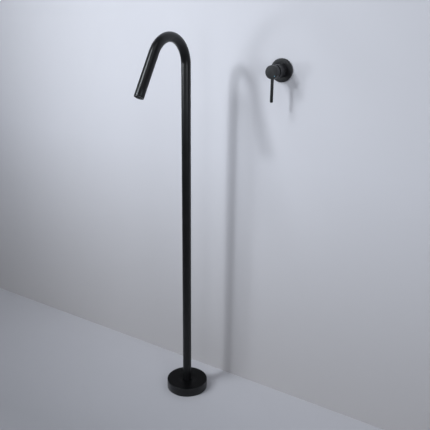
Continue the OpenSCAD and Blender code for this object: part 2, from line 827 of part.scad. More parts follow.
module mounting_plate() {
    color("#9a9da1") on_wall() difference() {
        translate([0, 0, plate_back]) round_cornered_plate(plate_w, plate_l, plate_h, plate_corner_r);
        translate([0, 0, plate_back - over]) at_corners(wall_screws_x, wall_screws_z)
            cylinder(d = wall_screw_d + 2 * screw_clearance, h = plate_h + 2 * over);
        at_plate_screws() plate_screw_solid();
    }
}

// A countersunk screw with its flat head at the origin
module plate_screw_solid() {
    cylinder(d1 = 2 * plate_screw_d - 1, d2 = plate_screw_d, h = plate_head_h);
    cylinder(d = plate_screw_d, h = plate_screw_l);
}

module plate_screws() {
    color("#a9adb2") on_wall() at_plate_screws() difference() {
        plate_screw_solid();
        translate([0, 0, -over]) hexagon_head(hex_key, over + plate_head_h);
    }
}

module wall_screws() {
    color("#a9adb2") on_wall() translate([0, 0, barrel_back]) at_corners(wall_screws_x, wall_screws_z)
        difference() {
            union() {
                cylinder(d = wall_head_d, h = wall_head_h);
                wood_screw(wall_screw_d, wall_shank_d, plate_h, wall_screw_l);
            }
            translate([0, 0, wall_head_h - hex_depth]) hexagon_head(hex_key, wall_head_h);
        }
}

spout_tube();
aerator_housing();
aerator_insert();
aerator_screen();
aerator_washer();
base_cover();
cover_oring();
floor_flange();
clamp_screws();
inlet_connector();
connector_orings();
floor_screws();
floor_washers();
wall_rosette();
rosette_seal();
rosette_oring();
trim_sleeve();
sleeve_orings();
lever_hub();
lever_pin();
hub_grub_screw();
indicator_dot();
lever_stem();
pivot_pin();
cartridge_rotor();
disc_carrier();
moving_disc();
fixed_disc();
disc_seals();
cartridge_base();
base_seals();
cartridge_housing();
cartridge_nut();
valve_body();
mounting_plate();
plate_screws();
wall_screws();
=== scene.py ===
import json
import math

import bmesh
import bpy
from mathutils import Matrix, Vector


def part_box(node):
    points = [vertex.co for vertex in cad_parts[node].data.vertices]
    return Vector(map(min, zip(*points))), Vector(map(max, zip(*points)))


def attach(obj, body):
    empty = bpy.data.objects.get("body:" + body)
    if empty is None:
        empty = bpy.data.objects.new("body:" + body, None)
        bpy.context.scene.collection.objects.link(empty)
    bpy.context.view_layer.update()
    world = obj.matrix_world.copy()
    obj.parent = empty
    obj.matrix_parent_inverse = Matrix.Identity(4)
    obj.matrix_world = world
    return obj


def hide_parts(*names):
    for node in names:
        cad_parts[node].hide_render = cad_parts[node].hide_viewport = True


bl_info = {
    "name": "Floor-standing basin mixer",
    "version": (1, 0, 0),
    "blender": (4, 5, 0),
    "location": "3D View > Sidebar > Mixer",
    "description": "Models the visible shells of a floor-standing basin mixer and dresses its parts",
    "category": "Object",
}

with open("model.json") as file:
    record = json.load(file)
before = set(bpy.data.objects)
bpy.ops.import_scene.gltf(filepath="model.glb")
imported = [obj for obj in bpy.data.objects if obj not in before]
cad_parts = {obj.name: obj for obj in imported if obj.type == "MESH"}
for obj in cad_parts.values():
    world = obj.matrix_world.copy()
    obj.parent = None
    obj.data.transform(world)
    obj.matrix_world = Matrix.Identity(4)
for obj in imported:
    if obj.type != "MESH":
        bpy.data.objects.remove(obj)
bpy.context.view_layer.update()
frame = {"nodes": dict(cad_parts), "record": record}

# Material slot of each CAD node
SLOT_OF = {row["node"]: row["material_slot"] for row in frame["record"]["subparts"]}

TUBE_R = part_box("spout_tube")[1].x
TUBE_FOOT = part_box("spout_tube")[0].z
TUBE_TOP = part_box("spout_tube")[1].z
COVER_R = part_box("base_cover")[1].x
COVER_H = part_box("base_cover")[1].z
WALL_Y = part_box("wall_rosette")[1].y
ROSETTE_LOW, ROSETTE_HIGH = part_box("wall_rosette")
CONTROL_X = (ROSETTE_LOW.x + ROSETTE_HIGH.x) / 2
CONTROL_Z = (ROSETTE_LOW.z + ROSETTE_HIGH.z) / 2
MM = 0.001

# How near to a place a point counts as there, and how near two points are merged
NEAR = 0.02 * MM
NEAR_SEAM = 0.01 * MM
MERGED = 0.002 * MM
# Faces that meet at less than this angle, in degrees, are shaded as one smooth face
SMOOTH_BELOW = 35

# The photograph's camera: place in metres, tilt and turn in degrees, lens and sensor in millimetres
CAMERA_PLACE = (0.9225, -1.3295, 1.1091)
CAMERA_TILT, CAMERA_TURN = 70.57, 34.08
CAMERA_LENS, CAMERA_SENSOR = 51.81, 36
CAMERA_SHIFT_X, CAMERA_SHIFT_Y = 0.0501, 0.0098

# Slightly blue daylight of the lamps, and of the room
LAMP_COLOUR = (0.88, 0.94, 1.0)
ROOM_COLOUR = (0.86, 0.91, 1.0, 1)
# Each lamp's name, place, aim, width and height, power setting, share of that power, and spread in degrees
LAMPS = (
    ("key_light", (-1.2, -2.4, 2.18), (0.05, 0.13, 0.85), (0.32, 0.32), "key_power", 1, 60),
    ("upper_left", (-0.55, -1.05, 2.0), (0, -0.1, 0.9), (0.36, 0.36), "top_power", 1, 100),
    ("upper_right", (0.6, -0.8, 2.4), (0.3, 0.13, 1.2), (1.0, 1.0), "top_power", 1, 180),
    ("side_left", (-0.84, -1.12, 1.25), (0, 0, 1.0), (0.35, 0.9), "side_power", 1, 180),
    ("side_right", (1.7, -1.0, 1.1), (0, 0.13, 0.9), (1.3, 1.3), "side_power", 0.6, 180),
    ("strip_right", (1.45, -0.85, 1.0), (0, 0, 1.0), (0.35, 0.8), "side_power", 0.5, 180),
    ("low_left", (-0.75, -0.75, 0.85), (0, 0, 0.92), (0.15, 0.2), "fill_power", 1.4, 120),
    ("front_left", (0.3, -1.8, 0.8), (0, 0, 0.95), (0.5, 0.6), "fill_power", 1.3, 120),
    ("front_right", (1.5, -1.4, 0.8), (0, 0, 0.95), (0.5, 0.6), "fill_power", 1, 120),
    ("back_light", (0.6, 1.3, 1.5), (0.15, 0.2, 0.95), (0.7, 0.7), "back_power", 1, 180),
)


# Sizes and colours that a user would change

def length(name, description, default):
    """A size in metres, shown in the scene's own unit."""
    return bpy.props.FloatProperty(
        name=name, description=description, default=default, min=0.0, unit="LENGTH", precision=4)


def angle(name, description, degrees):
    """An angle, given here in degrees."""
    return bpy.props.FloatProperty(
        name=name, description=description, default=math.radians(degrees), subtype="ANGLE")


def tint(name, description, default):
    """A colour."""
    return bpy.props.FloatVectorProperty(
        name=name, description=description, default=default, size=3, min=0, max=1, subtype="COLOR")


def factor(name, description, default):
    """A share between 0 and 1."""
    return bpy.props.FloatProperty(
        name=name, description=description, default=default, min=0, max=1, subtype="FACTOR")


def power(name, description, default):
    """A lamp's power in watts."""
    return bpy.props.FloatProperty(
        name=name, description=description, default=default, min=0, max=1000, unit="POWER")


def number(name, description, default, low, high):
    """A plain number between two limits."""
    return bpy.props.FloatProperty(
        name=name, description=description, default=default, min=low, max=high)


class SpoutSizes(bpy.types.PropertyGroup):
    """The tube and the ring at its outlet"""
    tube_radius: length("Tube radius", "Outer radius of the spout's tube", TUBE_R)
    tube_wall: length("Tube wall", "Wall of the spout's tube", 1.5 * MM)
    arch_radius: length("Arch radius", "Radius of the arch on the tube's centreline", 72 * MM)
    arm_angle: angle("Arm angle", "Angle of the slanted arm from the vertical", 32)
    arm_length: length("Arm length", "Length of the arm from the arch to the outlet", 115 * MM)
    ring_height: length("Ring height", "Height of the ring at the outlet", 4 * MM)
    ring_edge: length("Ring edge", "Rounding of the ring's lower edge", 0.6 * MM)
    seam_edge: length("Seam edge", "Rounding on both sides of the seam above the ring", 0.3 * MM)


class BaseSizes(bpy.types.PropertyGroup):
    """The cover over the floor fixing"""
    radius: length("Radius", "Outer radius of the base cover", COVER_R)
    height: length("Height", "Height of the base cover", COVER_H)
    wall: length("Wall", "Wall of the base cover", 2 * MM)
    edge: length("Edge", "Rounding of the cover's upper edge", 1 * MM)
    bore_radius: length("Bore radius", "Radius of the bore round the tube", 12.6 * MM)
    neck_wall: length("Neck wall", "Wall of the neck inside the cover", 4.3 * MM)
    neck_height: length("Neck height", "Height of the neck inside the cover", 6 * MM)


class ControlSizes(bpy.types.PropertyGroup):
    """The control on the wall"""
    rosette_radius: length("Rosette radius", "Radius of the wall rosette", 30 * MM)
    rosette_height: length("Rosette height", "Thickness of the wall rosette", 5.2 * MM)
    sleeve_radius: length("Sleeve radius", "Radius of the sleeve and the hub", 17 * MM)
    sleeve_reach: length("Sleeve reach", "Distance of the sleeve's front from the wall", 39.5 * MM)
    hub_reach: length("Hub reach", "Distance of the hub's face from the wall", 59 * MM)
    gap_top: length("Gap at the top", "Gap between sleeve and hub at the top", 7.5 * MM)
    gap_bottom: length("Gap at the bottom", "Gap between sleeve and hub at the bottom", 1.3 * MM)
    trim_edge: length("Trim edge", "Rounding of the edges of rosette, sleeve and hub", 0.6 * MM)
    pin_radius: length("Pin radius", "Radius of the pin handle", 4 * MM)
    pin_reach: length("Pin reach", "Distance of the pin's tip from the control's axis", 75.5 * MM)
    pin_inset: length("Pin inset", "Distance of the pin's axis behind the hub's face", 7 * MM)
    dot_radius: length("Dot radius", "Radius of the indicator dot", 1.3 * MM)
    dot_from_axis: length("Dot from axis", "Distance of the dot from the control's axis", 12.9 * MM)
    dot_angle: angle("Dot angle", "Place of the dot round the axis, from the right", -45)


class Finishes(bpy.types.PropertyGroup):
    """Colours and finishes"""
    black: tint("Black coat", "Colour of the matt black coat", (0.0030, 0.0030, 0.0033))
    black_roughness: factor("Black roughness", "Roughness of the matt black coat", 0.31)
    # Painted light: the control's round pieces get a paler black that stands in for the light falling on
    # them
    pale: number("Paler control", "How many times paler the control's round pieces are", 4.4, 1, 100)
    dull: factor("Duller control", "How much rougher the control's round pieces are", 0.1)
    grain: length("Grain", "Width of the grain in the coat", 0.35 * MM)
    mark: tint("Mark", "Colour of the indicator dot", (0.13, 0.33, 0.44))
    brass: tint("Brass", "Colour of the brass parts", (0.78, 0.56, 0.25))
    steel: tint("Steel", "Colour of the steel parts", (0.56, 0.57, 0.58))
    rubber: tint("Rubber", "Colour of the seals", (0.018, 0.018, 0.019))
    plastic: tint("Plastic", "Colour of the cartridge's plastic", (0.66, 0.65, 0.60))
    ceramic: tint("Ceramic", "Colour of the ceramic discs", (0.80, 0.78, 0.72))


class StageSettings(bpy.types.PropertyGroup):
    """Wall, floor and lights"""
    wall: tint("Wall", "Colour of the wall", (0.665, 0.655, 0.69))
    floor: tint("Floor", "Colour of the floor at the wall", (0.611, 0.602, 0.632))
    key_power: power("Key light", "Power of the key light", 3.1)
    top_power: power("Upper lights", "Power of each of the two soft lights above", 2.9)
    side_power: power("Side lights", "Power of the tall light at the left, which the right follows", 6.1)
    fill_power: power("Fill lights", "Power of the weak light in front, which the left follows", 0.6)
    back_power: power("Back light", "Power of the soft light behind the wall", 9)
    room_light: number("Room light", "Strength of the light from all round", 0.1, 0, 10)


# Modelling, as by hand: a primitive, edit-mode operators, and modifiers that are applied

def start(add, **place):
    """Adds a primitive alone, puts its place into its mesh, and goes into its edit mode."""
    bpy.ops.object.select_all(action="DESELECT")
    add(**place)
    bpy.ops.object.transform_apply(location=True, rotation=True, scale=True)
    bpy.ops.object.mode_set(mode="EDIT")
    bpy.ops.mesh.select_all(action="SELECT")


def pick(kind, test):
    """Selects the vertices, edges or faces of the mesh in edit mode that pass a test."""
    bpy.ops.mesh.select_mode(type=kind)
    bpy.ops.mesh.select_all(action="DESELECT")
    mesh = bmesh.from_edit_mesh(bpy.context.object.data)
    items = {"VERT": mesh.verts, "EDGE": mesh.edges, "FACE": mesh.faces}[kind]
    found = 0
    for item in items:
        if test(item):
            item.select_set(True)
            found += 1
    mesh.select_flush_mode()
    bmesh.update_edit_mesh(bpy.context.object.data)
    if not found:
        raise RuntimeError(f"nothing to select on {bpy.context.object.name}")


def push(vector):
    """Extrudes what is selected along a vector."""
    bpy.ops.mesh.extrude_region_move(TRANSFORM_OT_translate={"value": tuple(vector)})


def weld():
    """Merges doubled points and turns the faces outwards."""
    bpy.ops.mesh.select_mode(type="VERT")
    bpy.ops.mesh.select_all(action="SELECT")
    bpy.ops.mesh.remove_doubles(threshold=MERGED)
    bpy.ops.mesh.normals_make_consistent(inside=False)


def round_edges(test, width, steps=3):
    """Rounds the edges whose two ends both pass a test of their place."""
    pick("EDGE", lambda e: all(test(v.co) for v in e.verts))
    bpy.ops.mesh.bevel(offset=width, offset_type="OFFSET", segments=steps, profile=0.5, affect="EDGES")


def apply_modifier(kind, **settings):
    """Adds a modifier to the piece in hand and applies it."""
    piece = bpy.context.object
    modifier = piece.modifiers.new(kind.title(), kind)
    for key, value in settings.items():
        setattr(modifier, key, value)
    bpy.ops.object.modifier_apply(modifier=modifier.name)


def leave_edit():
    """Goes back to object mode, if the piece in hand is in edit mode."""
    if bpy.context.object.mode == "EDIT":
        bpy.ops.object.mode_set(mode="OBJECT")


def finish_piece(name, body, material, replaced):
    """Puts the piece's place into its mesh, and names it, dresses it and joins it to its body."""
    leave_edit()
    bpy.ops.object.transform_apply(location=True, rotation=True, scale=True)
    bpy.ops.object.shade_smooth_by_angle(angle=math.radians(SMOOTH_BELOW))
    piece = bpy.context.object
    piece.name = piece.data.name = name
    piece.data.materials.clear()
    piece.data.materials.append(material)
    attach(piece, body)
    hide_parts(*replaced)
    return piece


def turned(outline, steps):
    """Turns a closed outline of (radius, height) points round Z, ring of edges by ring of edges."""
    r, h = outline[0]
    start(bpy.ops.mesh.primitive_circle_add, vertices=steps, radius=r, location=(0, 0, h))
    for next_r, next_h in outline[1:] + outline[:1]:
        push((0, 0, next_h - h))
        bpy.ops.transform.resize(value=(next_r / r, next_r / r, 1), center_override=(0, 0, next_h))
        r, h = next_r, next_h
    weld()


def turned_solid(outline, steps):
    """Turns an open outline of (radius, height) points round Z, with a flat face at both ends."""
    r, h = outline[0]
    start(bpy.ops.mesh.primitive_circle_add, vertices=steps, radius=r, location=(0, 0, h),
          fill_type="NGON")
    pick("FACE", lambda f: True)
    bpy.ops.mesh.extrude_region_move()
    for next_r, next_h in outline[1:]:
        bpy.ops.transform.translate(value=(0, 0, next_h - h))
        bpy.ops.transform.resize(value=(next_r / r, next_r / r, 1), center_override=(0, 0, next_h))
        r, h = next_r, next_h
        if (next_r, next_h) != outline[-1]:
            bpy.ops.mesh.extrude_region_move()
    weld()


def tool(add, **place):
    """A primitive that is cut out of a piece later."""
    start(add, **place)
    bpy.ops.object.mode_set(mode="OBJECT")
    return bpy.context.object


def cut(piece, tools):
    """Cuts the tools out of the piece, one after another, and throws them away."""
    bpy.ops.object.select_all(action="DESELECT")
    bpy.context.view_layer.objects.active = piece
    piece.select_set(True)
    for cutter in tools:
        apply_modifier("BOOLEAN", operation="DIFFERENCE", object=cutter, solver="EXACT")
        bpy.data.objects.remove(cutter)


def on_edge(radius, height):
    """A test for points at a distance from Z and a height, in the mesh's own coordinates."""
    return lambda p: abs(math.hypot(p.x, p.y) - radius) < NEAR and abs(p.z - height) < NEAR


def placed(matrix):
    """Puts the piece in hand in its place."""
    leave_edit()
    bpy.context.object.matrix_world = matrix


def arch_foot(s):
    """The height at which the riser ends and the arch starts."""
    return TUBE_TOP - s.arch_radius - s.tube_radius


def on_wall():
    """The control's axis as +Z, pointing out of the wall, with +Y up."""
    return Matrix.Translation((CONTROL_X, WALL_Y, CONTROL_Z)) @ Matrix.Rotation(math.pi / 2, 4, "X")


# Materials

class Recipe:
    """One material, whose nodes are added in order."""

    def __init__(self, name, **shader):
        self.material = bpy.data.materials.new(name)
        self.material.use_nodes = True
        self.tree = self.material.node_tree
        self.shader = self.tree.nodes["Principled BSDF"]
        self.place = self.tree.nodes.new("ShaderNodeTexCoord").outputs["Object"]
        for socket, value in shader.items():
            self.shader.inputs[socket.replace("_", " ")].default_value = value

    def add(self, kind, inputs, **settings):
        """Adds a node; an input is a number, a colour or another node's output."""
        node = self.tree.nodes.new(kind)
        for key, value in settings.items():
            setattr(node, key, value)
        for socket, value in inputs.items():
            if isinstance(value, bpy.types.NodeSocket):
                self.tree.links.new(value, node.inputs[socket])
            else:
                node.inputs[socket].default_value = value
        return node

    def noise(self, size, detail=2.0, stretch=(1, 1, 1), shift=0.0):
        """Noise whose spots are about size metres across, and longer along the axes that are stretched."""
        place = self.add("ShaderNodeMapping", {
            "Vector": self.place, "Location": (shift, shift, shift),
            "Scale": tuple(1 / (size * s) for s in stretch)}).outputs["Vector"]
        noise = self.add("ShaderNodeTexNoise", {"Vector": place, "Scale": 1.0, "Detail": detail})
        return noise.outputs["Fac"]

    def spread(self, driver, low, high, start=0.3, end=0.7):
        """The driver's usual range, mapped to low and high."""
        spread = self.add("ShaderNodeMapRange", {
            "Value": driver, "From Min": start, "From Max": end, "To Min": low, "To Max": high})
        return spread.outputs["Result"]

    def blend(self, driver, first, second):
        """A colour between two colours."""
        mix = self.add("ShaderNodeMix", {"Factor": driver}, data_type="RGBA")
        colour_a, colour_b, result = mix.inputs[6], mix.inputs[7], mix.outputs[2]
        for socket, value in ((colour_a, first), (colour_b, second)):
            if isinstance(value, bpy.types.NodeSocket):
                self.tree.links.new(value, socket)
            else:
                socket.default_value = (*value[:3], 1.0)
        return result

    def sum(self, first, second, share):
        """The first driver with a share of the second mixed in."""
        mix = self.add("ShaderNodeMix", {"Factor": share, "A": first, "B": second}, data_type="FLOAT")
        return mix.outputs[0]

    def relief(self, *layers):
        """Bumps of (height driver, depth in metres, strength), one over the other."""
        normal = None
        for driver, depth, strength in layers:
            inputs = {"Height": driver, "Distance": depth, "Strength": strength}
            if normal is not None:
                inputs["Normal"] = normal
            normal = self.add("ShaderNodeBump", inputs).outputs["Normal"]
        self.tree.links.new(normal, self.shader.inputs["Normal"])

    def drive(self, socket, driver):
        """Links a driver to one of the shader's sockets."""
        self.tree.links.new(driver, self.shader.inputs[socket])


def scaled(colour, times):
    """A colour made lighter or darker."""
    return tuple(min(1.0, c * times) for c in colour)


def black_coat(name="matt_black_coat", level=0.4, pale=1, duller=0):
    """Matt black powder coat: fine grain over a soft orange peel, a cloudy sheen, and sharp edges lighter
    in colour, partly rubbed paint and partly a painted highlight.
    """
    made = bpy.data.materials.get(name)
    if made:
        return made
    finishes = bpy.context.scene.mixer_finishes
    black, rough = tuple(finishes.black), finishes.black_roughness + duller
    coat = Recipe(name, Specular_IOR_Level=level)
    grain = coat.noise(finishes.grain, 3)
    peel = coat.noise(finishes.grain * 5, 1, shift=3.1)
    cloud = coat.noise(0.045, 4, shift=1.7)
    mottle = coat.sum(cloud, grain, 0.45)
    # Painted highlight and wear: convex edges, found by pointiness, get a lighter colour, partly rubbed
    # paint and partly a painted highlight
    edge = coat.spread(coat.add("ShaderNodeNewGeometry", {}).outputs["Pointiness"], 0, 1, 0.53, 0.6)
    # Painted light: pale above 1 makes a paler, lit copy of the coat for the control's round pieces
    tone = coat.blend(coat.spread(mottle, 0, 1), scaled(black, 0.8 * pale), scaled(black, 1.3 * pale))
    coat.drive("Base Color", coat.blend(edge, tone, scaled(black, 6)))
    coat.drive("Roughness", coat.spread(mottle, rough - 0.04, rough + 0.05))
    coat.relief((peel, 0.00005, 0.3), (grain, 0.00004, 0.5))
    return coat.material


def painted_light_control_coat():
    """The same coat, duller, on the control's round pieces, with a paler colour that is painted light."""
    finishes = bpy.context.scene.mixer_finishes
    return black_coat("painted_light_black_coat", pale=finishes.pale, duller=finishes.dull)


def gloss_mark():
    """The indicator dot's glossy enamel."""
    tone = tuple(bpy.context.scene.mixer_finishes.mark)
    mark = Recipe("blue_enamel_mark", Specular_IOR_Level=0.5)
    cloud = mark.noise(0.0008, 2)
    mark.drive("Base Color", mark.blend(mark.spread(cloud, 0, 1), scaled(tone, 0.85), scaled(tone, 1.15)))
    mark.drive("Roughness", mark.spread(cloud, 0.16, 0.24))
    mark.relief((cloud, 0.00001, 0.2))
    return mark.material


def machined_brass():
    """Bare brass: turned and cast faces with a dull film in patches."""
    tone = tuple(bpy.context.scene.mixer_finishes.brass)
    brass = Recipe("machined_brass", Metallic=1.0)
    cast = brass.noise(0.0011, 3)
    film = brass.noise(0.018, 5, shift=2.3)
    lines = brass.noise(0.00022, 2, stretch=(1, 26, 1))
    mottle = brass.sum(film, cast, 0.3)
    brass.drive("Base Color", brass.blend(
        brass.spread(mottle, 0, 1), scaled(tone, 1.05), (tone[0] * 0.66, tone[1] * 0.58, tone[2] * 0.52)))
    brass.drive("Roughness", brass.spread(mottle, 0.24, 0.42))
    brass.relief((cast, 0.00005, 0.18), (lines, 0.00001, 0.25))
    return brass.material


def brushed_steel():
    """Bright zinc-plated and brushed steel."""
    tone = tuple(bpy.context.scene.mixer_finishes.steel)
    steel = Recipe("brushed_steel", Metallic=1.0)
    lines = steel.noise(0.00018, 2, stretch=(45, 1, 1))
    cloud = steel.noise(0.012, 4, shift=4.7)
    mottle = steel.sum(cloud, lines, 0.4)
    steel.drive("Base Color", steel.blend(
        steel.spread(mottle, 0, 1), scaled(tone, 0.86), scaled(tone, 1.12)))
    steel.drive("Roughness", steel.spread(mottle, 0.27, 0.4))
    steel.relief((lines, 0.00001, 0.35))
    return steel.material


def seal_rubber():
    """Black rubber, slightly dusty and lighter where it has rubbed."""
    tone = tuple(bpy.context.scene.mixer_finishes.rubber)
    rubber = Recipe("seal_rubber", Specular_IOR_Level=0.35)
    dust = rubber.noise(0.0009, 4)
    cloud = rubber.noise(0.009, 3, shift=5.2)
    mottle = rubber.sum(cloud, dust, 0.5)
    rubber.drive("Base Color", rubber.blend(
        rubber.spread(mottle, 0, 1), scaled(tone, 0.7), scaled(tone, 2.0)))
    rubber.drive("Roughness", rubber.spread(mottle, 0.62, 0.82))
    rubber.relief((dust, 0.00002, 0.3))
    return rubber.material


def moulded_plastic():
    """Off-white moulded plastic of the cartridge."""
    tone = tuple(bpy.context.scene.mixer_finishes.plastic)
    plastic = Recipe("moulded_plastic", Specular_IOR_Level=0.5)
    grain = plastic.noise(0.0006, 3)
    flow = plastic.noise(0.011, 3, stretch=(1, 1, 3), shift=6.4)
    mottle = plastic.sum(flow, grain, 0.35)
    plastic.drive("Base Color", plastic.blend(
        plastic.spread(mottle, 0, 1), scaled(tone, 0.92), scaled(tone, 1.06)))
    plastic.drive("Roughness", plastic.spread(mottle, 0.38, 0.5))
    plastic.relief((grain, 0.000015, 0.2))
    return plastic.material


def black_plastic():
    """Black moulded plastic of the honeycomb in the outlet."""
    plastic = Recipe("black_moulded_plastic", Specular_IOR_Level=0.4)
    grain = plastic.noise(0.0005, 3)
    haze = plastic.noise(0.004, 2, shift=8.3)
    mottle = plastic.sum(haze, grain, 0.4)
    plastic.drive("Base Color", plastic.blend(
        plastic.spread(mottle, 0, 1), (0.010, 0.010, 0.011), (0.022, 0.022, 0.023)))
    plastic.drive("Roughness", plastic.spread(mottle, 0.4, 0.52))
    plastic.relief((grain, 0.00001, 0.25))
    return plastic.material


def lapped_ceramic():
    """Lapped ceramic of the two discs, with a faint polish haze."""
    tone = tuple(bpy.context.scene.mixer_finishes.ceramic)
    ceramic = Recipe("lapped_ceramic", Specular_IOR_Level=0.6)
    grain = ceramic.noise(0.0003, 2)
    haze = ceramic.noise(0.006, 3, shift=7.9)
    mottle = ceramic.sum(haze, grain, 0.3)
    ceramic.drive("Base Color", ceramic.blend(
        ceramic.spread(mottle, 0, 1), scaled(tone, 0.95), scaled(tone, 1.04)))
    ceramic.drive("Roughness", ceramic.spread(mottle, 0.14, 0.26))
    ceramic.relief((grain, 0.000005, 0.15))
    return ceramic.material


def one_sided(name, colour, spots, roughness, axis, span, painted_shade):
    """A stage surface that is seen from its front alone, so that it blocks no view from behind or below.

    Its colour fades along one axis, to the given share of each channel at the start of the span; this
    darkening is painted shade.
    """
    plain = Recipe(name, Specular_IOR_Level=0.15)
    cloud = plain.noise(spots, 4)
    tone = plain.blend(plain.spread(cloud, 0, 1), scaled(colour, 0.985), scaled(colour, 1.015))
    along = plain.add("ShaderNodeSeparateXYZ", {"Vector": plain.place}).outputs[axis]
    low = tuple(channel * share for channel, share in zip(colour, painted_shade))
    plain.drive("Base Color", plain.blend(plain.spread(along, 0, 1, *span), low, tone))
    plain.shader.inputs["Roughness"].default_value = roughness
    output = plain.tree.nodes["Material Output"]
    clear = plain.add("ShaderNodeBsdfTransparent", {})
    side = plain.add("ShaderNodeNewGeometry", {}).outputs["Backfacing"]
    mix = plain.add("ShaderNodeMixShader", {0: side, 1: plain.shader.outputs[0], 2: clear.outputs[0]})
    plain.tree.links.new(mix.outputs[0], output.inputs["Surface"])
    return plain.material


# One operator for each piece or group of like pieces

class MIXER_OT_spout(bpy.types.Operator):
    """Bend the spout's tube: riser, arch and slanted arm"""
    bl_idname = "mixer.spout"
    bl_label = "Spout tube"

    def execute(self, context):
        s = context.scene.mixer_spout
        around, riser_steps, arch_steps, arm_steps = 96, 20, 72, 5
        bend_z = arch_foot(s)
        start(bpy.ops.mesh.primitive_circle_add, vertices=around, radius=s.tube_radius,
              location=(0, 0, TUBE_FOOT))
        for _ in range(riser_steps):
            push((0, 0, (bend_z - TUBE_FOOT) / riser_steps))
        bpy.ops.mesh.spin(steps=arch_steps, angle=-(math.pi - s.arm_angle),
                          center=(0, -s.arch_radius, bend_z), axis=(1, 0, 0))
        along = Vector((0, -math.sin(s.arm_angle), -math.cos(s.arm_angle)))
        for _ in range(arm_steps):
            push(along * (s.arm_length - s.ring_height) / arm_steps)
        weld()
        bpy.ops.object.mode_set(mode="OBJECT")
        apply_modifier("SOLIDIFY", thickness=s.tube_wall, offset=-1, use_even_offset=True)
        bpy.ops.object.mode_set(mode="EDIT")
        arch_end = Vector((0, -s.arch_radius * (1 + math.cos(s.arm_angle)),
                           bend_z + s.arch_radius * math.sin(s.arm_angle)))
        seam = arch_end + along * (s.arm_length - s.ring_height)

        def at_seam(p):
            from_seam = p - seam
            on_rim = abs(from_seam.length - s.tube_radius) < NEAR_SEAM
            return on_rim and abs(from_seam.dot(along)) < NEAR_SEAM

        round_edges(at_seam, s.seam_edge, 2)
        finish_piece("spout_tube_bent", "fixed_parts", black_coat(), ["spout_tube"])
        return {"FINISHED"}


class MIXER_OT_outlet(bpy.types.Operator):
    """Turn the ring of the aerator at the end of the arm"""
    bl_idname = "mixer.outlet"
    bl_label = "Outlet ring"

    def execute(self, context):
        s = context.scene.mixer_spout
        skirt_r, bore_r, recess_r = 10.9 * MM, 9.3 * MM, 11.8 * MM
        skirt_h, recess_h = 9 * MM, 1 * MM
        skirt_top = s.ring_height + skirt_h
        turned([
            (bore_r, -skirt_top), (skirt_r, -skirt_top), (skirt_r, recess_h - s.ring_height),
            (recess_r, recess_h - s.ring_height), (recess_r, -s.ring_height),
            (s.tube_radius, -s.ring_height), (s.tube_radius, -s.ring_height / 2), (s.tube_radius, 0),
            (bore_r, 0),
        ], steps=96)
        round_edges(on_edge(s.tube_radius, 0), s.ring_edge, 4)
        round_edges(on_edge(s.tube_radius, -s.ring_height), s.seam_edge, 2)
        round_edges(on_edge(bore_r, 0), s.seam_edge, 2)
        bend_z = arch_foot(s)
        placed(Matrix.Translation((0, -s.arch_radius, bend_z))
               @ Matrix.Rotation(math.pi - s.arm_angle, 4, "X")
               @ Matrix.Translation((0, s.arch_radius, s.arm_length)))
        finish_piece("outlet_ring", "fixed_parts", black_coat(), ["aerator_housing"])
        return {"FINISHED"}


class MIXER_OT_base(bpy.types.Operator):
    """Turn the round cover over the floor fixing"""
    bl_idname = "mixer.base"
    bl_label = "Base cover"

    def execute(self, context):
        s = context.scene.mixer_base
        groove_depth, groove_h = 1.3 * MM, 1.4 * MM
        groove_r, groove_z = s.bore_radius + groove_depth, s.height - s.neck_height / 2
        neck_r, neck_foot = s.bore_radius + s.neck_wall, s.height - s.neck_height
        inner_r, ceiling = s.radius - s.wall, s.height - s.wall
        outer_ring_r, inner_ring_r = s.radius * 0.8, s.radius * 0.55
        bore_edge, foot_edge = 0.3 * MM, 0.2 * MM
        upward = 0.99
        turned([
            (s.radius, 0), (s.radius, s.height / 2), (s.radius, s.height), (outer_ring_r, s.height),
            (inner_ring_r, s.height), (s.bore_radius, s.height), (s.bore_radius, groove_z + groove_h / 2),
            (groove_r, groove_z + groove_h / 2), (groove_r, groove_z - groove_h / 2),
            (s.bore_radius, groove_z - groove_h / 2), (s.bore_radius, neck_foot), (neck_r, neck_foot),
            (neck_r, ceiling), (inner_r, ceiling), (inner_r, 0),
        ], steps=160)
        round_edges(on_edge(s.radius, s.height), s.edge, 5)
        round_edges(on_edge(s.bore_radius, s.height), bore_edge, 2)
        round_edges(on_edge(s.radius, 0), foot_edge, 2)
        cover = finish_piece("base_cover_turned", "fixed_parts", black_coat(),
                             ["base_cover"])
        # The coat on top of the cover shines less than on its side
        cover.data.materials.append(black_coat("dead_black_coat", level=0.08))
        for face in cover.data.polygons:
            face.material_index = 1 if face.normal.z > upward else 0
        return {"FINISHED"}


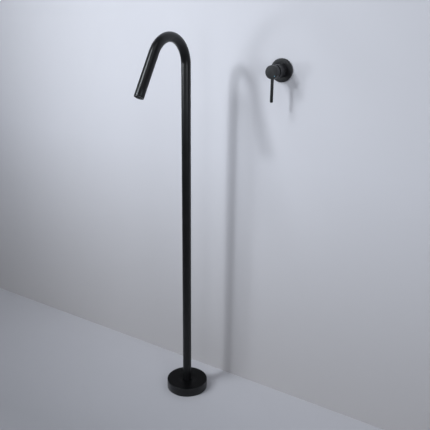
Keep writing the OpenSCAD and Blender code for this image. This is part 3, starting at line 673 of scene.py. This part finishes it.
class MIXER_OT_wall_trim(bpy.types.Operator):
    """Turn the rosette on the wall and the sleeve in it"""
    bl_idname = "mixer.wall_trim"
    bl_label = "Rosette and sleeve"

    def execute(self, context):
        s = context.scene.mixer_control
        clearance, groove_depth, groove_h = 0.1 * MM, 1.4 * MM, 1.4 * MM
        bore_r, groove_r = s.sleeve_radius + clearance, s.sleeve_radius + groove_depth
        rim, foam_h = 2.5 * MM, 2 * MM
        foam_r, groove_z = s.rosette_radius - rim, (foam_h + s.rosette_height) / 2
        ring_r, bore_edge = s.rosette_radius * 0.8, 0.2 * MM
        turned([
            (s.rosette_radius, 0), (s.rosette_radius, s.rosette_height / 2),
            (s.rosette_radius, s.rosette_height), (ring_r, s.rosette_height), (bore_r, s.rosette_height),
            (bore_r, groove_z + groove_h / 2), (groove_r, groove_z + groove_h / 2),
            (groove_r, groove_z - groove_h / 2), (bore_r, groove_z - groove_h / 2), (bore_r, foam_h),
            (foam_r, foam_h), (foam_r, 0),
        ], steps=128)
        round_edges(on_edge(s.rosette_radius, s.rosette_height), s.trim_edge, 4)
        round_edges(on_edge(bore_r, s.rosette_height), bore_edge, 2)
        placed(on_wall())
        finish_piece("rosette_turned", "fixed_parts", painted_light_control_coat(), ["wall_rosette"])

        wall, mouth_r, mouth_edge = 1.5 * MM, 11 * MM, 0.3 * MM
        turned([
            (s.sleeve_radius, 0), (s.sleeve_radius, s.sleeve_reach / 2), (s.sleeve_radius, s.sleeve_reach),
            (mouth_r, s.sleeve_reach), (mouth_r, s.sleeve_reach - wall),
            (s.sleeve_radius - wall, s.sleeve_reach - wall), (s.sleeve_radius - wall, 0),
        ], steps=96)
        round_edges(on_edge(s.sleeve_radius, s.sleeve_reach), s.trim_edge, 4)
        round_edges(on_edge(mouth_r, s.sleeve_reach), mouth_edge, 2)
        placed(on_wall())
        finish_piece("sleeve_turned", "fixed_parts", painted_light_control_coat(), ["trim_sleeve"])
        return {"FINISHED"}


class MIXER_OT_lever(bpy.types.Operator):
    """Turn and cut the lever's hub, its pin handle and the indicator dot"""
    bl_idname = "mixer.lever"
    bl_label = "Lever"

    def execute(self, context):
        s = context.scene.mixer_control
        self.hub(s)
        self.pin(s)
        self.dot(s)
        return {"FINISHED"}

    def hub(self, s):
        """A short cylinder with a slanted back and rounded edges."""
        r, steps = s.sleeve_radius, 96
        back_top, back_bottom = s.sleeve_reach + s.gap_top, s.sleeve_reach + s.gap_bottom
        slant = math.atan((s.gap_top - s.gap_bottom) / (2 * r))
        start(bpy.ops.mesh.primitive_cylinder_add, vertices=steps, radius=r,
              depth=s.hub_reach - s.sleeve_reach, end_fill_type="NGON",
              location=(0, 0, (s.hub_reach + s.sleeve_reach) / 2))
        bpy.ops.mesh.bisect(
            plane_co=(0, 0, (back_top + back_bottom) / 2),
            plane_no=(0, -math.sin(slant), math.cos(slant)), use_fill=True, clear_inner=True)
        hub = bpy.context.object
        # The two flat ends are the only faces with more than a few corners
        few_corners = 8
        pick("FACE", lambda f: len(f.verts) > few_corners)
        bpy.ops.mesh.region_to_loop()
        bpy.ops.mesh.bevel(
            offset=s.trim_edge, offset_type="OFFSET", segments=4, profile=0.5, affect="EDGES")
        bpy.ops.object.mode_set(mode="OBJECT")
        self.holes(hub, s)
        placed(on_wall())
        finish_piece("hub_turned", "lever", painted_light_control_coat(), ["lever_hub"])

    def holes(self, hub, s):
        """The stem's square hole, the pin's thread and socket, and the dot's seat, cut out of the hub."""
        pin_z = s.hub_reach - s.pin_inset
        stem_w, stem_l, stem_end = 7.1 * MM, 20 * MM, pin_z + 4.3 * MM
        thread_r, thread_l, thread_start = 3 * MM, s.sleeve_radius, 0.5 * MM
        socket_r, socket_l, shoulder = s.pin_radius + 0.05 * MM, 6 * MM, 14 * MM
        dot_r, dot_depth = s.dot_radius + 0.03 * MM, 0.8 * MM
        dot_place = (s.dot_from_axis * math.cos(s.dot_angle), s.dot_from_axis * math.sin(s.dot_angle),
                     s.hub_reach)
        down = (math.pi / 2, 0, 0)
        cut(hub, [
            tool(bpy.ops.mesh.primitive_cube_add, size=1,
                 location=(0, 0, stem_end - stem_l / 2), scale=(stem_w, stem_w, stem_l)),
            tool(bpy.ops.mesh.primitive_cylinder_add, vertices=48, radius=thread_r, depth=thread_l,
                 location=(0, -thread_l / 2 - thread_start, pin_z), rotation=down),
            tool(bpy.ops.mesh.primitive_cylinder_add, vertices=64, radius=socket_r, depth=socket_l,
                 location=(0, -shoulder - socket_l / 2, pin_z), rotation=down),
            tool(bpy.ops.mesh.primitive_cylinder_add, vertices=40, radius=dot_r, depth=2 * dot_depth,
                 location=dot_place),
        ])

    def pin(self, s):
        """A straight pin with a thread at one end and a rounded tip at the other."""
        shoulder, tip_r, ring_step = 14 * MM, 0.6 * s.pin_radius, 20 * MM
        thread_r, thread_l = 3 * MM, 4.5 * MM
        turned_solid([
            (thread_r, shoulder - thread_l), (thread_r, shoulder), (s.pin_radius, shoulder),
            (s.pin_radius, shoulder + ring_step), (s.pin_radius, shoulder + 2 * ring_step),
            (s.pin_radius, s.pin_reach),
        ], steps=64)
        round_edges(on_edge(s.pin_radius, s.pin_reach), tip_r, 8)
        placed(on_wall() @ Matrix.Translation((0, 0, s.hub_reach - s.pin_inset))
               @ Matrix.Rotation(math.pi / 2, 4, "X"))
        finish_piece("pin_handle_turned", "lever", black_coat(), ["lever_pin"])

    def dot(self, s):
        """A low disc of enamel, sunk into the hub's face."""
        depth, edge = 0.8 * MM, 0.15 * MM
        turned_solid([(s.dot_radius, -depth), (s.dot_radius, 0)], steps=40)
        round_edges(on_edge(s.dot_radius, 0), edge, 3)
        placed(on_wall() @ Matrix.Rotation(s.dot_angle, 4, "Z")
               @ Matrix.Translation((s.dot_from_axis, 0, s.hub_reach)))
        finish_piece("dot_enamelled", "lever", gloss_mark(), ["indicator_dot"])


class MIXER_OT_inner_parts(bpy.types.Operator):
    """Dress the parts inside and behind the covers in their own finishes"""
    bl_idname = "mixer.inner_parts"
    bl_label = "Inner parts"

    def execute(self, context):
        finish_of = {
            "matt_black_metal": black_coat(), "blue_mark": gloss_mark(), "brass": machined_brass(),
            "steel": brushed_steel(), "black_rubber": seal_rubber(), "white_plastic": moulded_plastic(),
            "black_plastic": black_plastic(), "ceramic": lapped_ceramic(),
        }
        for node, part in frame["nodes"].items():
            for socket in part.material_slots:
                socket.material = finish_of[SLOT_OF[node]]
        return {"FINISHED"}


class MIXER_OT_stage(bpy.types.Operator):
    """Set the floor, the wall, the lights and the camera of the photograph"""
    bl_idname = "mixer.stage"
    bl_label = "Stage and camera"

    def execute(self, context):
        s = context.scene.mixer_stage
        far, fading, fade_height = 6.0, 0.5, 0.7
        # Painted shade: the wall darker towards the floor, and the floor darker away from the wall
        floor_painted_shade, wall_painted_shade = (0.66, 0.66, 0.66), (0.82, 0.80, 0.765)
        start(bpy.ops.mesh.primitive_plane_add, size=2 * far, location=(0, 0, 0))
        bpy.ops.object.mode_set(mode="OBJECT")
        floor = context.object
        floor.name = "floor"
        floor.data.materials.append(one_sided(
            "pale_floor", tuple(s.floor), spots=0.5, roughness=0.6,
            axis="Y", span=(WALL_Y - fading, WALL_Y), painted_shade=floor_painted_shade))
        start(bpy.ops.mesh.primitive_plane_add, size=2 * far, location=(0, WALL_Y, far),
              rotation=(math.pi / 2, 0, 0))
        bpy.ops.object.mode_set(mode="OBJECT")
        wall = context.object
        wall.name = "wall"
        wall.data.materials.append(one_sided(
            "pale_wall", tuple(s.wall), spots=0.6, roughness=0.8,
            axis="Z", span=(0.0, fade_height), painted_shade=wall_painted_shade))
        for name, place, aim, size, setting, share, spread in LAMPS:
            self.lamp(name, place, aim, size, getattr(s, setting) * share, spread)
        world = bpy.data.worlds.new("room")
        world.use_nodes = True
        background = world.node_tree.nodes["Background"]
        background.inputs["Color"].default_value = ROOM_COLOUR
        background.inputs["Strength"].default_value = s.room_light
        context.scene.world = world
        context.scene.view_settings.view_transform = "Standard"
        bpy.ops.object.select_all(action="DESELECT")
        bpy.ops.object.camera_add(
            location=CAMERA_PLACE, rotation=(math.radians(CAMERA_TILT), 0, math.radians(CAMERA_TURN)))
        camera = context.object
        camera.name = "camera"
        camera.data.sensor_width = CAMERA_SENSOR
        camera.data.lens = CAMERA_LENS
        camera.data.shift_x = CAMERA_SHIFT_X
        camera.data.shift_y = CAMERA_SHIFT_Y
        context.scene.camera = camera
        return {"FINISHED"}

    def lamp(self, name, place, aim, size, watts, spread):
        """A soft light that shines on the object and stays out of the picture itself."""
        bpy.ops.object.select_all(action="DESELECT")
        bpy.ops.object.light_add(type="AREA", location=place)
        lamp = bpy.context.object
        lamp.name = name
        lamp.rotation_euler = (Vector(aim) - Vector(place)).to_track_quat("-Z", "Y").to_euler()
        lamp.visible_camera = False
        lamp.data.shape = "DISK" if size[0] == size[1] else "RECTANGLE"
        lamp.data.size, lamp.data.size_y = size
        lamp.data.energy = watts
        lamp.data.color = LAMP_COLOUR
        lamp.data.spread = math.radians(spread)


class MIXER_PT_panel(bpy.types.Panel):
    """The mixer's sizes, finishes and steps"""
    bl_idname = "MIXER_PT_panel"
    bl_label = "Basin mixer"
    bl_space_type = "VIEW_3D"
    bl_region_type = "UI"
    bl_category = "Mixer"

    def draw(self, context):
        for group, _ in GROUPS:
            box = self.layout.box()
            settings = getattr(context.scene, group)
            for key in settings.__annotations__:
                box.prop(settings, key)
        for operator in OPERATORS:
            self.layout.operator(operator.bl_idname)


GROUPS = (("mixer_spout", SpoutSizes), ("mixer_base", BaseSizes), ("mixer_control", ControlSizes),
          ("mixer_finishes", Finishes), ("mixer_stage", StageSettings))
OPERATORS = (MIXER_OT_spout, MIXER_OT_outlet, MIXER_OT_base, MIXER_OT_wall_trim, MIXER_OT_lever,
             MIXER_OT_inner_parts, MIXER_OT_stage)


def register():
    for name, group in GROUPS:
        bpy.utils.register_class(group)
        setattr(bpy.types.Scene, name, bpy.props.PointerProperty(type=group))
    for item in (*OPERATORS, MIXER_PT_panel):
        bpy.utils.register_class(item)


def unregister():
    for item in (MIXER_PT_panel, *reversed(OPERATORS)):
        bpy.utils.unregister_class(item)
    for name, group in reversed(GROUPS):
        delattr(bpy.types.Scene, name)
        bpy.utils.unregister_class(group)


def main():
    register()
    bpy.ops.mixer.spout()
    bpy.ops.mixer.outlet()
    bpy.ops.mixer.base()
    bpy.ops.mixer.wall_trim()
    bpy.ops.mixer.lever()
    bpy.ops.mixer.inner_parts()
    bpy.ops.mixer.stage()


if __name__ == "__main__":
    main()
